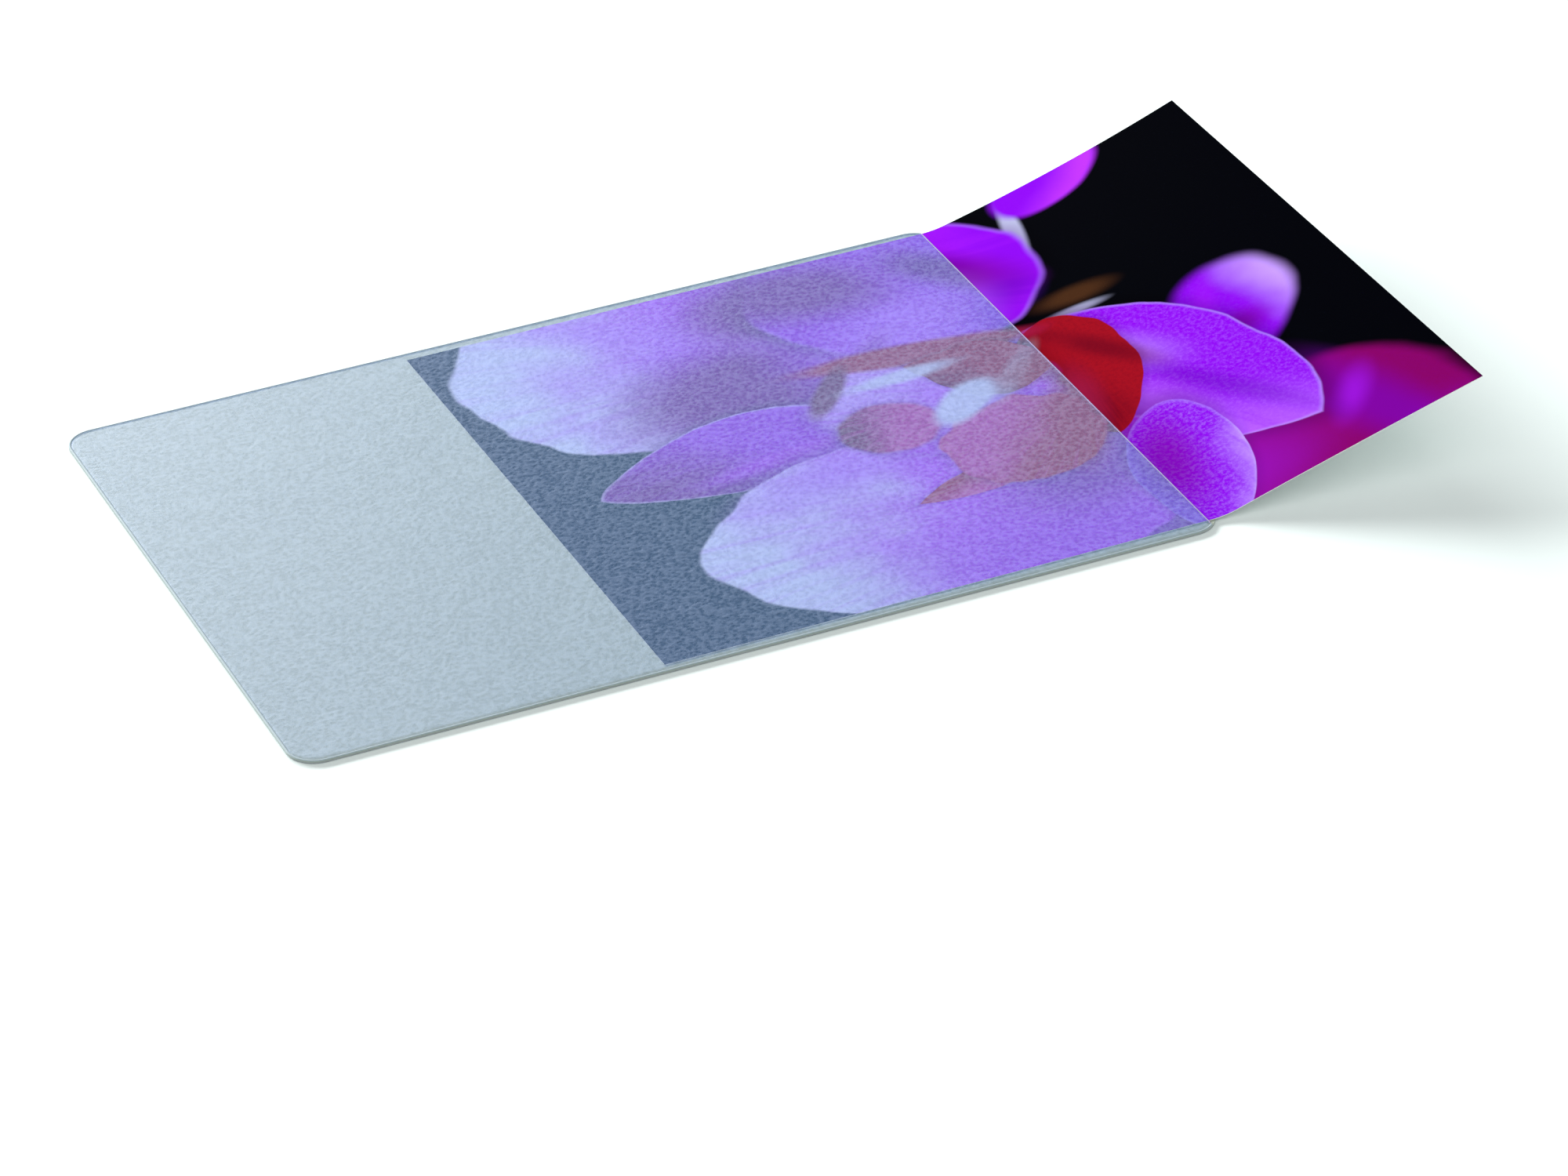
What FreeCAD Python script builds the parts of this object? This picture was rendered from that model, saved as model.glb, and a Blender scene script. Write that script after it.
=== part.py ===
"""Photo insert mat: a flat desk mat whose translucent cover film makes a pocket for a picture.

The mat lies on the XY plane with its underside at Z = 0. The origin is the middle of that underside, X
runs along the mat towards the pocket's open end, and Y runs from the front to the back. Sizes are in mm.
"""

import FreeCAD
import Part
import Sketcher
import math
import os

DIMENSIONS = {
    "mat_length": "302",
    "mat_width": "218",
    "corner_radius": "9.5",
    "pad_thickness": "0.6",
    "backing_thickness": "0.2",
    "pocket_gap": "0.3",
    "cover_thickness": "0.2",
    "cover_setback": "3.5",
    "weld_width": "1.5",
    "end_weld_reach": "15",
    "print_width": "210",
    "print_thickness": "0.22",
    "print_inserted": "182",
    "print_skew": "0.5",
    "print_offset": "1",
    "bend_radius": "36",
    "bend_run": "9.4",
    "curl_radius": "1800",
    "curl_run": "84.7",
}
DERIVED = {
    "mat_end": "=mat_length / 2",
    "mat_side": "=mat_width / 2",
    "beyond_end": "=mat_end + corner_radius",
    "beyond_side": "=mat_side + corner_radius",
    "mouth": "=mat_end - cover_setback",
    "weld_joint": "=mat_end - end_weld_reach",
    "inner_radius": "=corner_radius - weld_width",
    "pocket_end": "=mat_end - weld_width",
    "pocket_side": "=mat_side - weld_width",
    "pocket_floor": "=pad_thickness + backing_thickness",
    "pocket_roof": "=pocket_floor + pocket_gap",
    "print_side": "=print_width / 2",
    "print_start": "=mouth - print_inserted",
    "skew_shift_x": "=mouth * (1 - cos(print_skew * 1deg))",
    "skew_shift_y": "=print_offset - mouth * sin(print_skew * 1deg)",
    "print_half": "=print_thickness / 2",
    "print_height": "=pocket_floor + pocket_gap / 2",
    "bend_end": "=mouth + bend_run",
    "curl_end": "=bend_end + curl_run",
}
ORIGIN = (-1, 1)
X_AXIS = -1
LINE_START, LINE_END = 1, 2
NEAR = 1e-4

doc = FreeCAD.newDocument("photo_insert_mat")
dims = doc.addObject("Spreadsheet::Sheet", "dims")


def fill_sheet():
    """Write each dimension to the sheet, in a cell that has the dimension's name."""
    for row, (name, content) in enumerate({**DIMENSIONS, **DERIVED}.items(), start=1):
        dims.set(f"A{row}", name)
        dims.set(f"B{row}", content)
        dims.setAlias(f"B{row}", name)
    doc.recompute()


def size(expression):
    """The number that a cell holds, or its negative where the name has a minus sign."""
    number = float(getattr(dims, expression.lstrip("-")))
    return -number if expression.startswith("-") else number


def cell(expression):
    """The same as a formula that reads the sheet."""
    name = expression.lstrip("-")
    return f"-dims.{name}" if expression.startswith("-") else f"dims.{name}"


def new_body(name, height=None):
    """A body that stands on the XY plane, or at the height that a cell holds."""
    body = doc.addObject("PartDesign::Body", name)
    body.Label = name
    if height:
        body.setExpression("Placement.Base.z", cell(height))
    return body


def new_sketch(body, name, role, distance=None):
    """A sketch on one of the body's own origin planes, or at a distance from it."""
    sketch = body.newObject("Sketcher::SketchObject", name)
    plane = next(p for p in body.Origin.OriginFeatures if p.Role == role)
    sketch.AttachmentSupport = [(plane, "")]
    sketch.MapMode = "FlatFace"
    if distance:
        sketch.setExpression("AttachmentOffset.Base.z", cell(distance))
    return sketch


def bind(sketch, kind, geometry, expression):
    """Add a dimension whose value comes from a cell."""
    index = sketch.addConstraint(Sketcher.Constraint(kind, *geometry, size(expression)))
    sketch.setExpression(f"Constraints[{index}]", cell(expression))


def add_rectangle(sketch, left, right, front, back):
    """A rectangle whose four sides lie at the places that the cells give."""
    corners = [(left, front), (right, front), (right, back), (left, back)]
    points = [FreeCAD.Vector(size(x), size(y), 0) for x, y in corners]
    for start, end in zip(points, points[1:] + points[:1]):
        sketch.addGeometry(Part.LineSegment(start, end), False)
    for line, kind in enumerate(("Horizontal", "Vertical", "Horizontal", "Vertical")):
        following = (line + 1) % len(corners)
        sketch.addConstraint(Sketcher.Constraint("Coincident", line, LINE_END, following, LINE_START))
        sketch.addConstraint(Sketcher.Constraint(kind, line))
    for line in (0, 2):
        x, y = corners[line]
        bind(sketch, "DistanceX", (*ORIGIN, line, LINE_START), x)
        bind(sketch, "DistanceY", (*ORIGIN, line, LINE_START), y)


def pad(body, sketch, thickness):
    feature = body.newObject("PartDesign::Pad", f"{body.Label}_pad")
    feature.Profile = sketch
    feature.setExpression("Length", cell(thickness))
    doc.recompute()
    return feature


def is_upright_at(edge, corners):
    """True for a straight vertical edge that stands on one of these (x, y) places."""
    first, last = edge.Vertexes[0].Point, edge.Vertexes[-1].Point
    upright = abs(first.x - last.x) < NEAR and abs(first.y - last.y) < NEAR
    return upright and any(abs(first.x - x) < NEAR and abs(first.y - y) < NEAR for x, y in corners)


def round_corners(body, feature, corners, radius):
    """Fillet the feature's upright edges at the corners, each a pair of cells."""
    places = [(size(x), size(y)) for x, y in corners]
    edges = enumerate(feature.Shape.Edges, start=1)
    names = [f"Edge{number}" for number, edge in edges if is_upright_at(edge, places)]
    fillet = body.newObject("PartDesign::Fillet", f"{feature.Name}_corners")
    fillet.Base = (feature, names)
    fillet.setExpression("Radius", cell(radius))
    doc.recompute()
    return fillet


def cut(body, name, left, right, front, back):
    """Cut a rectangle through the whole thickness of the body."""
    before = body.Shape.Volume
    outline = new_sketch(body, f"{body.Label}_{name}", "XY_Plane")
    add_rectangle(outline, left, right, front, back)
    pocket = body.newObject("PartDesign::Pocket", f"{body.Label}_{name}_cut")
    pocket.Profile = outline
    pocket.Type = "ThroughAll"
    pocket.Reversed = True
    doc.recompute()
    if not 0 < pocket.Shape.Volume < before:
        raise RuntimeError(f"{body.Label}: {name} was not cut")
    return pocket


def make_layer(name, thickness, height=None):
    """One flat sheet with the mat's whole rounded outline."""
    body = new_body(name, height)
    sketch = new_sketch(body, f"{name}_outline", "XY_Plane")
    add_rectangle(sketch, "-mat_end", "mat_end", "-mat_side", "mat_side")
    layer = pad(body, sketch, thickness)
    corners = [(end, side) for end in ("-mat_end", "mat_end") for side in ("-mat_side", "mat_side")]
    round_corners(body, layer, corners, "corner_radius")
    return body


def make_cover():
    """The translucent film, which has the mat's outline and stops short of it at the open side."""
    film = make_layer("cover_film", "cover_thickness", "pocket_roof")
    cut(film, "mouth", "mouth", "beyond_end", "-beyond_side", "beyond_side")


def make_end_weld():
    """The sealed rim across the closed end, which turns both of its rounded corners."""
    body = new_body("end_weld", "pocket_floor")
    outline = new_sketch(body, "end_weld_outline", "XY_Plane")
    add_rectangle(outline, "-mat_end", "-weld_joint", "-mat_side", "mat_side")
    pad(body, outline, "pocket_gap")
    opening = cut(body, "pocket", "-pocket_end", "-weld_joint", "-pocket_side", "pocket_side")
    inner = [("-pocket_end", "-pocket_side"), ("-pocket_end", "pocket_side")]
    outer = [("-mat_end", "-mat_side"), ("-mat_end", "mat_side")]
    rounded_inside = round_corners(body, opening, inner, "inner_radius")
    round_corners(body, rounded_inside, outer, "corner_radius")


def make_side_weld(name, front, back):
    """The straight sealed rim along one long side, from the end weld to the rounded open corner."""
    rim = make_layer(name, "pocket_gap", "pocket_floor")
    cut(rim, "pocket", "-beyond_end", "beyond_end", front, back)
    cut(rim, "end", "-beyond_end", "-weld_joint", "-beyond_side", "beyond_side")


def bend_angles():
    """How far the print has turned upwards where its bend ends and where its curl ends."""
    after_bend = math.asin(size("bend_run") / size("bend_radius"))
    after_curl = math.asin(math.sin(after_bend) + size("curl_run") / size("curl_radius"))
    return after_bend, after_curl


def add_rising_arc(sketch, start, radius, start_angle, end_angle):
    """An arc that leaves start at one slope and ends at a steeper one, with its centre above it."""
    centre = start + radius * FreeCAD.Vector(-math.sin(start_angle), math.cos(start_angle), 0)
    circle = Part.Circle(centre, FreeCAD.Vector(0, 0, 1), radius)
    downwards = -math.pi / 2
    sketch.addGeometry(Part.ArcOfCircle(circle, downwards + start_angle, downwards + end_angle), False)
    return centre + radius * FreeCAD.Vector(math.sin(end_angle), -math.cos(end_angle), 0)


def add_curl_line(sketch):
    """The print seen from the front: flat in the pocket, a short bend at its mouth, a long curl."""
    flat, bend, curl = range(3)
    after_bend, after_curl = bend_angles()
    flat_start = FreeCAD.Vector(size("print_start"), 0, 0)
    flat_end = FreeCAD.Vector(size("mouth"), 0, 0)
    sketch.addGeometry(Part.LineSegment(flat_start, flat_end), False)
    bend_end = add_rising_arc(sketch, flat_end, size("bend_radius"), 0, after_bend)
    add_rising_arc(sketch, bend_end, size("curl_radius"), after_bend, after_curl)
    sketch.addConstraint(Sketcher.Constraint("PointOnObject", flat, LINE_START, X_AXIS))
    sketch.addConstraint(Sketcher.Constraint("Horizontal", flat))
    sketch.addConstraint(Sketcher.Constraint("Tangent", flat, LINE_END, bend, LINE_START))
    sketch.addConstraint(Sketcher.Constraint("Tangent", bend, LINE_END, curl, LINE_START))
    bind(sketch, "DistanceX", (*ORIGIN, flat, LINE_START), "print_start")
    for geometry, end in ((flat, "mouth"), (bend, "bend_end"), (curl, "curl_end")):
        bind(sketch, "DistanceX", (*ORIGIN, geometry, LINE_END), end)
    bind(sketch, "Radius", (bend,), "bend_radius")
    bind(sketch, "Radius", (curl,), "curl_radius")


def make_print():
    """The picture: one thin sheet swept along its curl line, and turned a little at the mouth."""
    body = new_body("photo_print", "print_height")
    body.setExpression("Placement.Rotation.Angle", "dims.print_skew * 1deg")
    body.setExpression("Placement.Base.x", cell("skew_shift_x"))
    body.setExpression("Placement.Base.y", cell("skew_shift_y"))
    line = new_sketch(body, "print_curl_line", "XZ_Plane")
    add_curl_line(line)
    section = new_sketch(body, "print_section", "YZ_Plane", "print_start")
    add_rectangle(section, "-print_side", "print_side", "-print_half", "print_half")
    doc.recompute()
    sweep = body.newObject("PartDesign::AdditivePipe", "print_sheet")
    sweep.Profile = section
    sweep.Spine = (line, ["Edge1", "Edge2", "Edge3"])
    doc.recompute()
    after_bend, after_curl = bend_angles()
    length = size("print_inserted") + size("bend_radius") * after_bend
    length += size("curl_radius") * (after_curl - after_bend)
    expected = length * size("print_width") * size("print_thickness")
    if abs(sweep.Shape.Volume / expected - 1) > 0.001:
        raise RuntimeError("photo_print: the sweep has the wrong volume")
    print(f"photo_print is {length:.1f} mm long and its free end is {body.Shape.BoundBox.ZMax:.1f} mm up")


def check_document():
    """Stop on any object that failed to recompute and on any body without a valid solid."""
    doc.recompute()
    for item in doc.Objects:
        if {"Invalid", "Error"} & set(item.State):
            raise RuntimeError(f"{item.Name} is {item.State}")
    for body in bodies():
        if body.Shape.isNull() or not body.Shape.isValid() or len(body.Shape.Solids) != 1:
            raise RuntimeError(f"{body.Label} has no valid single solid")


def bodies():
    return [item for item in doc.Objects if item.TypeId == "PartDesign::Body"]


def export():
    os.makedirs("parts", exist_ok=True)
    for body in bodies():
        body.Shape.exportStep(f"parts/{body.Label}.step")


fill_sheet()
make_layer("base_pad", "pad_thickness")
make_layer("backing_sheet", "backing_thickness", "pad_thickness")
make_cover()
make_end_weld()
make_side_weld("front_weld", "-pocket_side", "beyond_side")
make_side_weld("back_weld", "-beyond_side", "pocket_side")
make_print()
check_document()
export()
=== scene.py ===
"""Photo insert mat: a flat mat with a frosted film pocket, and a glossy print half out of the pocket.

Sizes are in metres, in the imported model's own frame: X along the mat towards the pocket's open end, Y
towards the back, Z up, with the origin in the middle of the mat's underside.
"""

import math

import bmesh
import bpy
from mathutils import Matrix, Vector


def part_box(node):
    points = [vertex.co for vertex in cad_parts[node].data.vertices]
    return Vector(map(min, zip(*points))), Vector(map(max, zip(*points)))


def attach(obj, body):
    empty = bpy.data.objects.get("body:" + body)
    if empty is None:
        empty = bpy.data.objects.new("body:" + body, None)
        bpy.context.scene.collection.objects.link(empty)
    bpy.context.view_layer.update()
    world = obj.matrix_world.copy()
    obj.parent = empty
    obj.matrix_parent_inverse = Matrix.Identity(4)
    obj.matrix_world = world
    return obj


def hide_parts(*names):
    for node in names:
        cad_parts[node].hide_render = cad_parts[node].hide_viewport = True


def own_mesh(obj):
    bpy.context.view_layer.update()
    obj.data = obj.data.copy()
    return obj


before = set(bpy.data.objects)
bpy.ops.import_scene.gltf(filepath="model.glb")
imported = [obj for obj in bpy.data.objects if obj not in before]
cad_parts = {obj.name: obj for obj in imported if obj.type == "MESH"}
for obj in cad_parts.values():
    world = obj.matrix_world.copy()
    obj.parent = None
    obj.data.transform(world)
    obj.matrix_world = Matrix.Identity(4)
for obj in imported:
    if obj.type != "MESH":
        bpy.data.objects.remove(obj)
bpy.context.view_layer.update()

MM = 0.001
PAD_LOW, PAD_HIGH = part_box("base_pad")
MAT_END = PAD_HIGH.x
MAT_SIDE = PAD_HIGH.y
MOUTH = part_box("cover_film")[1].x
FLOOR_OF_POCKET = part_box("backing_sheet")[1].z
PRINT_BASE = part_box("photo_print")[0].z
CORNER_RADIUS = 9.5 * MM
CORNER_STEPS = 20


# ---------------------------------------------------------------- outlines and meshes


def arc(centre_x, centre_y, radius, start, end):
    """Points of an arc from start to end, both in degrees."""
    turns = [math.radians(start + (end - start) * step / CORNER_STEPS) for step in range(CORNER_STEPS + 1)]
    return [(centre_x + radius * math.cos(a), centre_y + radius * math.sin(a)) for a in turns]


def whole_outline(inset):
    """The mat's rounded outline, this far inside its edge, as a closed loop."""
    radius = CORNER_RADIUS - inset
    x, y = MAT_END - CORNER_RADIUS, MAT_SIDE - CORNER_RADIUS
    corners = ((x, y, 0), (-x, y, 90), (-x, -y, 180), (x, -y, 270))
    return [point for cx, cy, turn in corners for point in arc(cx, cy, radius, turn, turn + 90)]


def sealed_outline(inset):
    """The outline's three sealed sides, from the back of the mouth round the closed end to its front."""
    radius = CORNER_RADIUS - inset
    x, y = MAT_END - CORNER_RADIUS, MAT_SIDE - CORNER_RADIUS
    at_mouth = math.degrees(math.acos((MOUTH - x) / radius))
    back = arc(x, y, radius, at_mouth, 90)
    front = arc(x, -y, radius, 270, 360 - at_mouth)
    return back + arc(-x, y, radius, 90, 180) + arc(-x, -y, radius, 180, 270) + front


def add_ring(mesh, outline, height):
    """One vertex at each point of the outline, all at one height."""
    return [mesh.verts.new((x, y, height)) for x, y in outline]


def add_strip(mesh, first, second, closed=False, material=0):
    """Quads between two rows of vertices."""
    count = len(first) if closed else len(first) - 1
    for index in range(count):
        following = (index + 1) % len(first)
        face = mesh.faces.new((first[index], first[following], second[following], second[index]))
        face.material_index = material


def add_face(mesh, vertices, material=0):
    mesh.faces.new(vertices).material_index = material


def finish_piece(mesh, name, materials, sharp_angle=35):
    """Turn a bmesh into an object with outward normals, smooth except at edges sharper than this angle."""
    bmesh.ops.recalc_face_normals(mesh, faces=mesh.faces[:])
    for face in mesh.faces:
        face.smooth = True
    data = bpy.data.meshes.new(name)
    mesh.to_mesh(data)
    mesh.free()
    data.set_sharp_from_angle(angle=math.radians(sharp_angle))
    for material in materials:
        data.materials.append(material)
    piece = bpy.data.objects.new(name, data)
    bpy.context.scene.collection.objects.link(piece)
    return piece


# ---------------------------------------------------------------- arithmetic in materials


class Field:
    """A number that varies over a surface. Arithmetic on it adds Math nodes to its material."""

    def __init__(self, tree, socket):
        self.tree = tree
        self.socket = socket

    def math(self, operation, *others):
        node = self.tree.nodes.new("ShaderNodeMath")
        node.operation = operation
        for entry, value in zip(node.inputs, (self, *others)):
            feed(self.tree, entry, value)
        return Field(self.tree, node.outputs[0])

    def __add__(self, other):
        return self.math("ADD", other)

    def __sub__(self, other):
        return self.math("SUBTRACT", other)

    def __mul__(self, other):
        return self.math("MULTIPLY", other)

    def __truediv__(self, other):
        return self.math("DIVIDE", other)

    def power(self, exponent):
        return self.math("POWER", exponent)

    def ramp(self, low, high):
        """0 below low, 1 above high and smooth between them; low may be the larger one."""
        node = self.tree.nodes.new("ShaderNodeMapRange")
        node.interpolation_type = "SMOOTHSTEP"
        rising = low < high
        feed(self.tree, node.inputs["Value"], self)
        node.inputs["From Min"].default_value = min(low, high)
        node.inputs["From Max"].default_value = max(low, high)
        node.inputs["To Min"].default_value = 0 if rising else 1
        node.inputs["To Max"].default_value = 1 if rising else 0
        return Field(self.tree, node.outputs["Result"])


def feed(tree, entry, value):
    """Give a node's input a field, a socket, or a plain number or colour."""
    if isinstance(value, Field):
        tree.links.new(value.socket, entry)
    elif isinstance(value, bpy.types.NodeSocket):
        tree.links.new(value, entry)
    else:
        entry.default_value = (*value, 1) if isinstance(value, tuple) and len(value) == 3 else value


MIX_FIRST, MIX_SECOND, MIX_RESULT = 6, 7, 2


def mix_colour(tree, share, first, second, blend="MIX"):
    """The first colour where share is 0, and the second where it is 1."""
    node = tree.nodes.new("ShaderNodeMix")
    node.data_type = "RGBA"
    node.blend_type = blend
    feed(tree, node.inputs["Factor"], share)
    feed(tree, node.inputs[MIX_FIRST], first)
    feed(tree, node.inputs[MIX_SECOND], second)
    return node.outputs[MIX_RESULT]


def vector_of(tree, x, y, z=0.0):
    node = tree.nodes.new("ShaderNodeCombineXYZ")
    for entry, value in zip(node.inputs, (x, y, z)):
        feed(tree, entry, value)
    return node.outputs[0]


def noise(tree, vector, scale, detail=3.0, roughness=0.5):
    """Noise between 0 and 1, about 0.5."""
    node = tree.nodes.new("ShaderNodeTexNoise")
    tree.links.new(vector, node.inputs["Vector"])
    node.inputs["Scale"].default_value = scale
    node.inputs["Detail"].default_value = detail
    node.inputs["Roughness"].default_value = roughness
    return Field(tree, node.outputs["Fac"])


def voronoi(tree, vector, scale, feature="F1"):
    """How far each point is from the middle of its cell."""
    node = tree.nodes.new("ShaderNodeTexVoronoi")
    node.feature = feature
    node.inputs["Scale"].default_value = scale
    tree.links.new(vector, node.inputs["Vector"])
    return Field(tree, node.outputs["Distance"])


def object_place(tree):
    """Where a point lies on its object, in metres."""
    return tree.nodes.new("ShaderNodeTexCoord").outputs["Object"]


def add_bump(tree, shader, height, distance, strength=1.0):
    node = tree.nodes.new("ShaderNodeBump")
    feed(tree, node.inputs["Height"], height)
    node.inputs["Distance"].default_value = distance
    node.inputs["Strength"].default_value = strength
    tree.links.new(node.outputs["Normal"], shader.inputs["Normal"])


def new_material(name, **settings):
    """A material with one Principled shader, whose plain settings are given by socket name."""
    material = bpy.data.materials.new(name)
    material.use_nodes = True
    tree = material.node_tree
    shader = tree.nodes["Principled BSDF"]
    for socket, value in settings.items():
        shader.inputs[socket.replace("_", " ")].default_value = value
    return material, tree, shader


# ---------------------------------------------------------------- the mat's materials


def emboss(tree):
    """The film's leather-like grain: soft cells about 1.4 mm wide, broken up by noise of nearly that size."""
    place = object_place(tree)
    cells = voronoi(tree, place, 720, "SMOOTH_F1")
    return cells * 0.7 + noise(tree, place, 560, 4.0, 0.7)


def film_material():
    """The film's embossed upper face, milky blue and mostly seen through."""
    material, tree, shader = new_material("frosted_film_top", Roughness=0.48, Alpha=0.3,
                                          Specular_IOR_Level=0.2)
    grain = emboss(tree)
    # The grain height also drives the colour: its lighter crowns and darker hollows are partly painted
    # shading of the emboss, on top of the real bump below.
    colour = mix_colour(tree, grain.ramp(0.58, 0.98), (0.10, 0.25, 0.52), (0.28, 0.46, 0.80))
    tree.links.new(colour, shader.inputs["Base Color"])
    add_bump(tree, shader, grain, 0.2 * MM, 1.0)
    return material


def film_underside_material():
    """The film's smooth lower face, which is nearly clear, so that the grain above it does the frosting."""
    material, tree, shader = new_material("frosted_film_underside", Roughness=0.3, Alpha=0.04)
    cloud = noise(tree, object_place(tree), 40, 2.0)
    colour = mix_colour(tree, cloud, (0.55, 0.66, 0.82), (0.62, 0.72, 0.88))
    tree.links.new(colour, shader.inputs["Base Color"])
    return material


def painted_edge_glow_material():
    """The film's cut edge at the mouth, whose pale pink colour is a painted glow of the light that gathers in
    it.
    """
    material, tree, shader = new_material("film_cut_edge", Roughness=0.45, Alpha=0.5)
    cloud = noise(tree, object_place(tree), 400, 2.0)
    # Painted glow: the pale pink stands in for light gathering in the cut edge, not for the film's own
    # colour.
    colour = mix_colour(tree, cloud, (0.52, 0.38, 0.70), (0.66, 0.50, 0.82))
    tree.links.new(colour, shader.inputs["Base Color"])
    return material


def rim_material():
    """The sealed rim: the same film pressed smooth against the backing."""
    material, tree, shader = new_material("pressed_rim", Roughness=0.55, Specular_IOR_Level=0.15)
    place = object_place(tree)
    cloud = noise(tree, place, 300, 3.0)
    colour = mix_colour(tree, cloud, (0.30, 0.38, 0.41), (0.37, 0.46, 0.49))
    tree.links.new(colour, shader.inputs["Base Color"])
    add_bump(tree, shader, noise(tree, place, 1500, 2.0), 0.03 * MM, 0.5)
    return material


def backing_material():
    """Grey sheet, faintly mottled."""
    material, tree, shader = new_material("grey_backing_sheet", Roughness=0.5)
    place = object_place(tree)
    cloud = noise(tree, place, 25, 4.0)
    colour = mix_colour(tree, cloud, (0.33, 0.39, 0.32), (0.37, 0.43, 0.35))
    tree.links.new(colour, shader.inputs["Base Color"])
    add_bump(tree, shader, noise(tree, place, 2500, 3.0), 0.02 * MM, 0.5)
    return material


def foam_material():
    """The non-slip underlay: matt foam with fine closed cells."""
    material, tree, shader = new_material("non_slip_foam", Roughness=0.92)
    place = object_place(tree)
    cell = voronoi(tree, place, 1600)
    patch = noise(tree, place, 60, 5.0)
    colour = mix_colour(tree, patch * 0.6 + cell * 0.4, (0.26, 0.30, 0.31), (0.40, 0.44, 0.45))
    tree.links.new(colour, shader.inputs["Base Color"])
    add_bump(tree, shader, cell + patch * 0.5, 0.1 * MM, 0.8)
    return material


# ---------------------------------------------------------------- the picture on the print


PICTURE_PLACE = "picture_place"  # the vertex layer that says where on the print a point lies
VEIN_ROOT = 1.35  # in half lengths behind a petal's middle
PATTERN_STEP = 7  # takes each petal's veins from another part of the noise
BLACK = (0.0006, 0.0008, 0.002)
SHADE = (0.34, 0.16, 0.40)
DARK_VIOLET = (0.11, 0.001, 0.42)
PURPLE = (0.17, 0.001, 0.34)
MAUVE = (0.20, 0.001, 0.32)
VIOLET = (0.22, 0.002, 0.70)
BRIGHT_VIOLET = (0.34, 0.01, 0.80)
ORCHID = (0.43, 0.03, 0.88)
LILAC = (0.45, 0.14, 0.92)
PALE = (0.50, 0.30, 0.88)
WHITE = (0.56, 0.60, 0.86)
MAGENTA = (0.20, 0.001, 0.11)
CRIMSON = (0.12, 0.001, 0.010)
RED = (0.30, 0.004, 0.012)
BRICK = (0.34, 0.01, 0.06)
BROWN = (0.17, 0.008, 0.08)
BARK = (0.06, 0.022, 0.008)
ROSE = (0.50, 0.05, 0.45)


class Picture:
    """A painting on the print, in layers over black. Places and sizes are in mm, along the print from its
    inserted end and across it from its front side; turns are in degrees from the print's length."""

    def __init__(self, tree):
        self.tree = tree
        source = tree.nodes.new("ShaderNodeAttribute")
        source.attribute_name = PICTURE_PLACE
        place = source.outputs["Vector"]
        split = tree.nodes.new("ShaderNodeSeparateXYZ")
        tree.links.new(place, split.inputs[0])
        self.along = Field(tree, split.outputs[0]) * (1 / MM)
        self.across = Field(tree, split.outputs[1]) * (1 / MM)
        self.ruffle = noise(tree, place, 30, 1.0) - 0.5
        self.crinkle = noise(tree, place, 75, 1.0) - 0.5
        self.cloud = noise(tree, place, 22, 3.0) - 0.5
        self.speckle = noise(tree, place, 700, 3.0, 0.7)
        self.colour = BLACK
        self.petal_count = 0

    def lay(self, share, colour, blend="MIX"):
        """Paint a layer over what is there, where share is above 0."""
        self.colour = mix_colour(self.tree, share, self.colour, colour, blend)

    def local(self, centre, size, turn, swell=0.0):
        """Places measured from a shape's centre, in half lengths along it and half widths across it. Swell
        makes it wider towards its tip."""
        x, y = self.along - centre[0], self.across - centre[1]
        cos, sin = math.cos(math.radians(turn)), math.sin(math.radians(turn))
        u = (x * cos + y * sin) * (2 / size[0])
        v = (y * cos - x * sin) * (2 / size[1])
        return u, v / (u * swell + 1) if swell else v

    def reach(self, u, v, wave):
        """How far out a place is: 0 in a shape's middle and 1 on its wavy outline."""
        return (u * u + v * v).power(0.5) + self.ruffle * wave

    def veined(self, colour, u, v, inner, outer, veins, vein_count):
        """The colour under veins that fan out from behind the petal's root, and under fine speckles."""
        self.petal_count += 1
        fan = v.math("ARCTAN2", u + VEIN_ROOT) * vein_count
        pattern_place = vector_of(self.tree, fan, u * 0.7, PATTERN_STEP * self.petal_count)
        streak = noise(self.tree, pattern_place, 1.0, 2.5, 0.65)
        colour = mix_colour(self.tree, streak.ramp(0.42, 0.72) * veins, colour, inner)
        return mix_colour(self.tree, self.speckle.ramp(0.40, 0.70) * (veins * 0.6), colour, outer)

    def petal(self, centre, size, turn, inner, outer, pale_side=(1, 0), fade=(-0.2, 1.1), swell=0.0,
              point=0.0, blur=0.012, wave=0.18, crinkle=0.05, edge=WHITE, edge_strength=0.3, edge_width=1.0,
              veins=0.3, vein_count=14, shadow=0.6):
        """One petal, whose tip points along turn. Its colour goes from inner to outer towards its pale side,
        and it casts a soft shadow on what is behind it."""
        u, v = self.local(centre, size, turn, swell)
        reach = self.reach(u, v, wave) + self.crinkle * crinkle
        if point:
            reach = reach + v.math("ABSOLUTE") * u.math("MAXIMUM", 0) * point
        if shadow:
            self.lay(reach.ramp(1.22, 0.94) * shadow, SHADE, "MULTIPLY")
        paleness = (u * pale_side[0] + v * pale_side[1] + self.cloud * 1.3).ramp(*fade)
        colour = mix_colour(self.tree, paleness, inner, outer)
        colour = self.veined(colour, u, v, inner, outer, veins, vein_count)
        if edge_strength:
            line = reach.ramp(1 - 2 * edge_width / min(size) - blur, 1.0) * edge_strength
            colour = mix_colour(self.tree, line, colour, edge)
        self.lay(reach.ramp(1 + blur, 1 - blur), colour)

    def patch(self, centre, size, turn, colour, strength=1.0, blur=0.5, wave=0.3):
        """A soft patch of one colour."""
        reach = self.reach(*self.local(centre, size, turn), wave)
        self.lay(reach.ramp(1 + blur, 1 - blur) * strength, colour)


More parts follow.
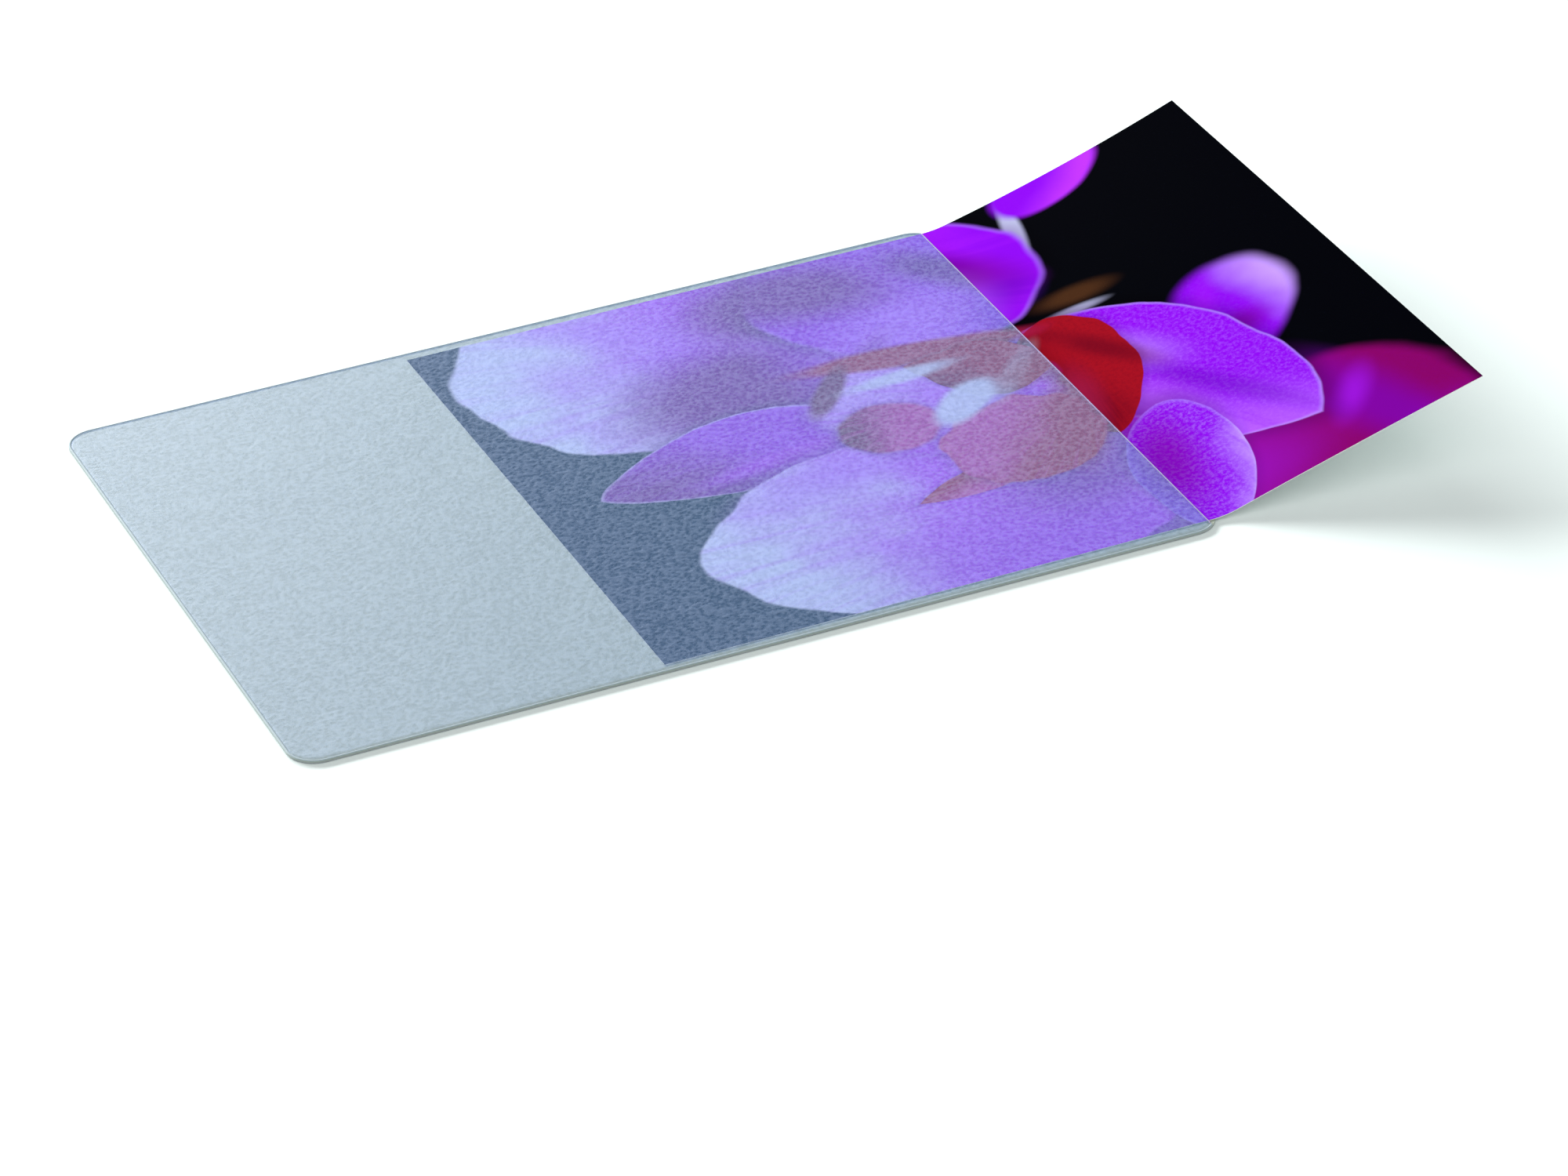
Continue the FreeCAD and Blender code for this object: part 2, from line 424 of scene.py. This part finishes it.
def paint_background(picture):
    """Out of focus: another bloom low at the right, and two buds on their stalks."""
    soft = {"veins": 0.04, "shadow": 0, "edge_strength": 0}
    picture.petal((228, 4), (104, 92), 8, MAGENTA, VIOLET, (0.2, -1), (0.2, 1.4), blur=0.08, **soft)
    picture.patch((250, 12), (20, 66), 14, PURPLE, 0.8, blur=0.8)
    picture.patch((246, 24), (22, 9), 50, BRIGHT_VIOLET, 0.5, blur=0.9)
    picture.petal((238, 90), (60, 38), 62, VIOLET, PALE, (0.9, -0.7), (0.3, 1.4), blur=0.14, swell=0.25,
                  **soft)
    picture.patch((238, 84), (15, 12), 0, PURPLE, 0.9, blur=0.8)
    picture.patch((228, 92), (34, 8), 62, BRIGHT_VIOLET, 0.6, blur=0.9)
    picture.patch((207, 189), (36, 6), 78, WHITE, 0.8, blur=0.4)
    picture.petal((228, 208), (44, 28), 20, VIOLET, ORCHID, (0.6, -0.8), (-0.3, 0.9), blur=0.12, **soft)
    picture.patch((205, 141), (24, 9), -10, BARK, 0.9, blur=0.6)
    picture.patch((202, 133), (18, 4), -10, WHITE, 0.6, blur=0.6)


def paint_left_petal(picture):
    """The broad petal at the upper left, with its folds."""
    picture.petal((86, 172), (160, 124), 174, ORCHID, WHITE, (1, 0.1), (-0.05, 0.85), swell=0.08,
                  vein_count=18, edge_strength=0.15)
    picture.patch((104, 160), (72, 74), 10, BRIGHT_VIOLET, 0.75, blur=0.8)
    picture.patch((88, 143), (80, 50), 16, MAUVE, 0.97, blur=0.5)
    picture.patch((78, 186), (84, 16), -30, LILAC, 0.6, blur=0.9)
    picture.patch((136, 188), (88, 44), 8, MAUVE, 0.97, blur=0.45)
    picture.patch((116, 204), (40, 10), -12, BRIGHT_VIOLET, 0.5, blur=0.9)
    picture.patch((118, 146), (26, 34), 40, BRIGHT_VIOLET, 0.6, blur=0.9)


def paint_upper_petal(picture):
    """The upper petal, whose tip is outside the pocket, with its folds."""
    picture.petal((159, 181), (98, 92), -32, BRIGHT_VIOLET, VIOLET, (1, 0.4), (0.1, 0.9), swell=-0.1,
                  vein_count=20, edge_strength=0.15, blur=0.03)
    picture.patch((180, 182), (20, 48), 40, PURPLE, 0.95, blur=0.6)
    picture.patch((190, 160), (16, 18), 30, DARK_VIOLET, 0.5, blur=0.8)
    picture.patch((150, 152), (56, 36), 35, LILAC, 0.85, blur=0.8)
    picture.patch((128, 192), (60, 34), -12, MAUVE, 0.95, blur=0.6)
    picture.patch((128, 138), (36, 10), 48, MAUVE, 0.5, blur=0.7)


def paint_right_petal(picture):
    """The pointed petal at the right, mostly outside the pocket, with a dark line along it."""
    picture.petal((208, 77), (124, 66), -64, VIOLET, LILAC, (0.5, -1), (-0.3, 1.5), point=0.35, veins=0.45,
                  edge_strength=0.25)
    picture.patch((199, 104), (40, 16), -50, PALE, 0.45, blur=0.9)
    picture.patch((217, 64), (70, 8), -63, DARK_VIOLET, 0.5, blur=0.9)
    picture.patch((198, 60), (40, 18), -70, LILAC, 0.6, blur=0.9)


def paint_lower_petals(picture):
    """The narrow petal at the left, the broad one near the front side, and a small one by the mouth."""
    picture.petal((67, 104), (92, 44), 188, BRIGHT_VIOLET, MAUVE, (1, 0.4), (-0.3, 0.8), swell=-0.1,
                  point=0.3, edge_strength=0.5)
    picture.patch((84, 96), (52, 8), 8, ORCHID, 0.8, blur=0.7)
    picture.petal((118, 42), (166, 104), 184, ORCHID, WHITE, (1, 0), (-0.1, 0.85), swell=0.06, vein_count=22,
                  edge_strength=0.15)
    picture.patch((150, 12), (110, 44), 6, BRIGHT_VIOLET, 0.75, blur=0.9)
    picture.patch((92, 78), (56, 20), 14, LILAC, 0.7, blur=0.9)
    picture.patch((168, 52), (64, 44), 28, PURPLE, 0.7, blur=0.7)
    picture.petal((191, 29), (78, 38), -100, VIOLET, PALE, (0.35, 0.9), (0.3, 1.2), point=0.2, veins=0.45,
                  edge_strength=0.15, shadow=0.3)
    picture.patch((187, 38), (44, 18), 80, PURPLE, 0.8, blur=0.8)


def paint_lip(picture):
    """The lip in the middle: a red hood, a pale throat and four veined lobes, with dark and white marks."""
    plain = {"veins": 0.5, "vein_count": 24, "shadow": 0.4, "edge_strength": 0}
    fine = {**plain, "crinkle": 0.3}
    lobe = {**fine, "edge": BRICK, "edge_strength": 0.2, "edge_width": 2.5}
    picture.petal((187, 98), (76, 38), -98, RED, CRIMSON, (0.2, -0.8), (-0.4, 0.5), point=0.3, crinkle=0.12,
                  **plain)
    picture.patch((199, 108), (40, 8), -62, CRIMSON, 0.7, blur=0.8)
    picture.petal((140, 106), (78, 68), 160, ORCHID, PALE, (1, -0.4), (-0.4, 0.8), blur=0.1, **fine)
    picture.patch((144, 138), (82, 13), -6, BRICK, 0.95, blur=0.25, wave=0.6)
    picture.patch((112, 128), (34, 9), 52, BROWN, 0.9, blur=0.3, wave=0.5)
    picture.petal((160, 120), (44, 36), 152, BRICK, BROWN, (0.3, 0.9), point=0.6, **fine)
    picture.petal((119, 98), (34, 30), 196, ROSE, BROWN, (0.7, -0.5), (-0.4, 0.8), blur=0.08, **fine)
    picture.petal((131, 55), (50, 15), 192, ROSE, BRICK, (0.6, -0.9), (-0.6, 0.8), point=0.5, **fine)
    picture.petal((154, 72), (58, 48), 214, ROSE, BRICK, (-0.3, 0.9), (-0.6, 0.6), blur=0.03, **lobe)
    picture.patch((174, 76), (18, 50), -20, BRICK, 0.8, blur=0.6)
    picture.patch((148, 102), (32, 15), 38, WHITE, 0.95, blur=0.25, wave=0.7)
    picture.patch((136, 126), (40, 7), 4, WHITE, 0.85, blur=0.5, wave=0.7)
    picture.patch((168, 110), (34, 7), 48, WHITE, 0.5, blur=0.6)
    picture.patch((176, 112), (30, 14), 30, RED, 0.6, blur=0.6)


def picture_material():
    """The print's glossy front. The parts of the flower are painted from the back to the front."""
    material, tree, shader = new_material("photo_print_front", Roughness=0.09, Specular_IOR_Level=0.25)
    picture = Picture(tree)
    paint_background(picture)
    paint_left_petal(picture)
    paint_upper_petal(picture)
    paint_right_petal(picture)
    paint_lower_petals(picture)
    paint_lip(picture)
    tree.links.new(picture.colour, shader.inputs["Base Color"])
    return material


def paper_material():
    """The print's plain back and its cut edges."""
    material, tree, shader = new_material("photo_paper_back", Roughness=0.55)
    place = object_place(tree)
    fibre = noise(tree, place, 700, 5.0, 0.7)
    colour = mix_colour(tree, fibre, (0.80, 0.81, 0.80), (0.88, 0.88, 0.87))
    tree.links.new(colour, shader.inputs["Base Color"])
    add_bump(tree, shader, fibre, 0.02 * MM, 0.6)
    return material


# ---------------------------------------------------------------- pieces


# Sections through the mat's edge, in mm: how far in from its outline, and how high above its underside.
PAD_SECTION = ((0.30, 0.0), (0.10, 0.04), (0.02, 0.14), (0.0, 0.30), (0.03, 0.48), (0.12, 0.57), (0.3, 0.6))
# The heights in these three are above the pocket's floor.
RIM_SECTION = ((0.95, 0.0), (0.90, 0.06), (0.78, 0.16), (0.62, 0.25), (0.42, 0.28), (0.22, 0.25),
               (0.08, 0.17), (0.02, 0.08), (0.03, 0.0))
FILM_TOP = ((2.9, 0.5), (1.7, 0.5), (1.45, 0.48), (1.3, 0.42), (1.15, 0.30), (1.0, 0.17), (0.85, 0.10))
FILM_UNDERSIDE = ((2.9, 0.3), (1.7, 0.3), (1.45, 0.28), (1.3, 0.22), (1.15, 0.10), (1.0, 0.03), (0.85, 0.02))
# A section through the film's cut edge: how far past the mouth and how high above the pocket's floor.
CUT_EDGE_SECTION = ((-0.36, 0.50), (-0.28, 0.53), (-0.16, 0.54), (-0.05, 0.50), (0.0, 0.42), (-0.02, 0.32),
                    (-0.10, 0.29), (-0.36, 0.29))
CUT_EDGE_STEPS = 24


def make_pad():
    """The foam underlay, with its pressed edges eased over."""
    mesh = bmesh.new()
    rings = [add_ring(mesh, whole_outline(inset * MM), PAD_LOW.z + height * MM)
             for inset, height in PAD_SECTION]
    for first, second in zip(rings, rings[1:]):
        add_strip(mesh, first, second, closed=True)
    add_face(mesh, rings[0])
    add_face(mesh, rings[-1])
    pad = finish_piece(mesh, "foam_underlay", [foam_material()])
    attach(pad, "mat")
    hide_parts("base_pad")


def dress_backing():
    """The grey backing sheet is the CAD's own, with a material."""
    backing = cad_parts["backing_sheet"]
    backing.data.materials.clear()
    backing.data.materials.append(backing_material())


def sealed_rings(mesh, section):
    """The section's points carried round the three sealed sides, one row of vertices each."""
    return [add_ring(mesh, sealed_outline(inset * MM), FLOOR_OF_POCKET + height * MM)
            for inset, height in section]


def make_rim():
    """The sealed rim round the three closed sides: a low rounded bead outside the sealing groove."""
    mesh = bmesh.new()
    rings = sealed_rings(mesh, RIM_SECTION)
    for first, second in zip(rings, rings[1:] + rings[:1]):
        add_strip(mesh, first, second)
    for end in (0, -1):
        add_face(mesh, [ring[end] for ring in rings])
    rim = finish_piece(mesh, "sealed_rim", [rim_material()])
    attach(rim, "mat")
    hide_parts("end_weld", "front_weld", "back_weld")


def make_film(cut_edge):
    """The frosted film: flat over the pocket, turned down into the sealing groove round three sides."""
    top, underside, edge = range(3)
    mesh = bmesh.new()
    upper, lower = sealed_rings(mesh, FILM_TOP), sealed_rings(mesh, FILM_UNDERSIDE)
    for rings, material in ((upper, top), (lower, underside)):
        for first, second in zip(rings, rings[1:]):
            add_strip(mesh, first, second, material=material)
        add_face(mesh, rings[0], material)
    add_strip(mesh, upper[-1], lower[-1], material=top)
    for end in (0, -1):
        add_strip(mesh, [ring[end] for ring in upper], [ring[end] for ring in lower], material=edge)
    add_face(mesh, (upper[0][0], upper[0][-1], lower[0][-1], lower[0][0]), edge)
    film = finish_piece(mesh, "frosted_cover", [film_material(), film_underside_material(), cut_edge])
    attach(film, "mat")
    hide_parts("cover_film")


def make_cut_edge(cut_edge):
    """The film's cut edge along the mouth, a little thickened and rounded by the cut."""
    end = sealed_outline(0.9 * MM)[0][1]
    mesh = bmesh.new()
    rows = [[mesh.verts.new((MOUTH + x * MM, end * (2 * step / CUT_EDGE_STEPS - 1), FLOOR_OF_POCKET + z * MM))
             for step in range(CUT_EDGE_STEPS + 1)] for x, z in CUT_EDGE_SECTION]
    for first, second in zip(rows, rows[1:] + rows[:1]):
        add_strip(mesh, first, second)
    for side in (0, -1):
        add_face(mesh, [row[side] for row in rows])
    edge = finish_piece(mesh, "film_cut_edge", [cut_edge], sharp_angle=60)
    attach(edge, "mat")


PRINT_LENGTH = 279.9 * MM
PRINT_WIDTH = 210 * MM
PRINT_THICKNESS = 0.22 * MM
PRINT_INSERTED = 182 * MM
PRINT_SKEW = math.radians(0.5)
PRINT_OFFSET = 1 * MM
BEND_RUN = 9.4 * MM
# The free part's slopes just after the bend and at the tip, along the print's front and back edges.
SLOPES_AT_FRONT = (0.300, 0.272)
SLOPES_AT_BACK = (0.225, 0.375)
PRINT_ROWS = 28


def print_slope(distance, share_back):
    """How steeply the print rises, this far beyond the mouth, from its front side to its back one."""
    after_bend, at_tip = [front + (back - front) * share_back
                          for front, back in zip(SLOPES_AT_FRONT, SLOPES_AT_BACK)]
    if distance <= 0:
        return 0.0
    bent = min(1.0, distance / BEND_RUN)
    further = distance / (PRINT_LENGTH - PRINT_INSERTED)
    return bent * math.atan(after_bend + (at_tip - after_bend) * further)


def print_line(share_back, stations):
    """The print's middle line at one place across it, as (x from the mouth, height, slope)."""
    x, z, points, previous = -PRINT_INSERTED, 0.0, [], 0.0
    for station in stations:
        angle = print_slope((previous + station) / 2 - PRINT_INSERTED, share_back)
        x += (station - previous) * math.cos(angle)
        z += (station - previous) * math.sin(angle)
        points.append((x, z, print_slope(station - PRINT_INSERTED, share_back)))
        previous = station
    return points


def print_stations():
    """Places along the print, from its inserted end, close together where it bends."""
    bend_end = PRINT_INSERTED + BEND_RUN
    spans = ((0, PRINT_INSERTED, 26), (PRINT_INSERTED, bend_end, 16), (bend_end, PRINT_LENGTH, 32))
    stations = [start + (end - start) * step / steps for start, end, steps in spans for step in range(steps)]
    return stations + [PRINT_LENGTH]


def print_grid(mesh, place, stations, side):
    """The vertices of one face of the print: its upper one for a side of 1 and its lower one for -1."""
    middle = PRINT_BASE + PRINT_THICKNESS / 2
    away = side * PRINT_THICKNESS / 2
    skew = Matrix.Rotation(PRINT_SKEW, 4, "Z")
    grid = []
    for row in range(PRINT_ROWS + 1):
        share = row / PRINT_ROWS
        line = []
        for station, (x, z, slope) in zip(stations, print_line(share, stations)):
            flat = Vector((x - away * math.sin(slope), (share - 0.5) * PRINT_WIDTH, 0))
            lift = Vector((MOUTH, PRINT_OFFSET, middle + z + away * math.cos(slope)))
            vertex = mesh.verts.new(skew @ flat + lift)
            vertex[place] = Vector((station, share * PRINT_WIDTH, 0))
            line.append(vertex)
        grid.append(line)
    return grid


def make_print():
    """The print, curled up outside the pocket at rest."""
    front, paper = range(2)
    stations = print_stations()
    mesh = bmesh.new()
    place = mesh.verts.layers.float_vector.new(PICTURE_PLACE)
    upper, lower = print_grid(mesh, place, stations, 1), print_grid(mesh, place, stations, -1)
    for grid, material in ((upper, front), (lower, paper)):
        for first, second in zip(grid, grid[1:]):
            add_strip(mesh, first, second, material=material)
    for end in (0, -1):
        add_strip(mesh, upper[end], lower[end], material=paper)
        add_strip(mesh, [line[end] for line in upper], [line[end] for line in lower], material=paper)
    picture = finish_piece(mesh, "printed_picture", [picture_material(), paper_material()])
    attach(picture, "print")
    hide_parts("photo_print")
    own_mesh(picture)


# ---------------------------------------------------------------- floor, light and camera


FLOOR_HALF = 8
FLOOR_COLOUR = (0.90, 0.99, 0.97)
FLOOR_DROP = 0.05 * MM
KEY_PLACE = Vector((-0.70, 3.4, 1.1))
KEY_TARGET = Vector((0.05, 0, 0))
KEY_SIZE = (3.6, 0.7)
KEY_POWER = 350
WORLD_STRENGTH = 0.80
CARD_DIRECTION = Vector((0.05, 0.76, 0.65)).normalized()
CARD_EDGE = (0.70, 0.88)  # cosines of the angles from its middle at which the dark card ends and is full
CAMERA_TURNS = (-22.38, 30.98, -2.49)  # azimuth, elevation and roll, in degrees
CAMERA_AIM = Vector((16.4, -79.7, 0)) * MM
CAMERA_DISTANCE = 2.025
CAMERA_LENS = 153.8


def make_floor():
    mesh = bmesh.new()
    corners = ((-1, -1), (1, -1), (1, 1), (-1, 1))
    add_face(mesh, [mesh.verts.new((x * FLOOR_HALF, y * FLOOR_HALF, 0)) for x, y in corners])
    material, _, shader = new_material("floor", Roughness=0.9, Specular_IOR_Level=0.0)
    shader.inputs["Base Color"].default_value = (*FLOOR_COLOUR, 1)
    floor = finish_piece(mesh, "floor", [material])
    floor.location.z = -FLOOR_DROP


def make_key_light():
    """One large soft box, behind the mat and to its left."""
    data = bpy.data.lights.new("key", "AREA")
    data.shape = "RECTANGLE"
    data.size, data.size_y = KEY_SIZE
    data.energy = KEY_POWER
    light = bpy.data.objects.new("key", data)
    light.location = KEY_PLACE
    light.rotation_euler = (KEY_TARGET - KEY_PLACE).to_track_quat("-Z", "Y").to_euler()
    bpy.context.scene.collection.objects.link(light)


def make_world():
    """Even light from all round, with a dark card behind the mat, where the print would mirror it."""
    world = bpy.data.worlds.new("studio")
    world.use_nodes = True
    tree = world.node_tree
    background = tree.nodes["Background"]
    dot = tree.nodes.new("ShaderNodeVectorMath")
    dot.operation = "DOT_PRODUCT"
    tree.links.new(tree.nodes.new("ShaderNodeTexCoord").outputs["Generated"], dot.inputs[0])
    dot.inputs[1].default_value = CARD_DIRECTION
    card = Field(tree, dot.outputs["Value"]).ramp(*CARD_EDGE)
    tree.links.new(mix_colour(tree, card, (1.0, 1.0, 1.0), (0.01, 0.01, 0.015)), background.inputs["Color"])
    background.inputs["Strength"].default_value = WORLD_STRENGTH
    bpy.context.scene.world = world


def make_camera():
    azimuth, elevation, roll = (math.radians(turn) for turn in CAMERA_TURNS)
    back = Vector((math.sin(azimuth) * math.cos(elevation), -math.cos(azimuth) * math.cos(elevation),
                   math.sin(elevation)))
    level = Vector((math.cos(azimuth), math.sin(azimuth), 0))
    upright = back.cross(level)
    right = level * math.cos(roll) + upright * math.sin(roll)
    up = upright * math.cos(roll) - level * math.sin(roll)
    data = bpy.data.cameras.new("camera")
    data.sensor_width = 36
    data.lens = CAMERA_LENS
    data.clip_start = 0.05
    camera = bpy.data.objects.new("camera", data)
    camera.matrix_world = Matrix((right, up, back)).transposed().to_4x4()
    camera.location = CAMERA_AIM + back * CAMERA_DISTANCE
    bpy.context.scene.collection.objects.link(camera)
    bpy.context.scene.camera = camera


make_pad()
dress_backing()
make_rim()
edge_glow_material = painted_edge_glow_material()
make_film(edge_glow_material)
make_cut_edge(edge_glow_material)
make_print()
make_floor()
make_world()
make_key_light()
make_camera()
bpy.context.scene.view_settings.view_transform = "Standard"
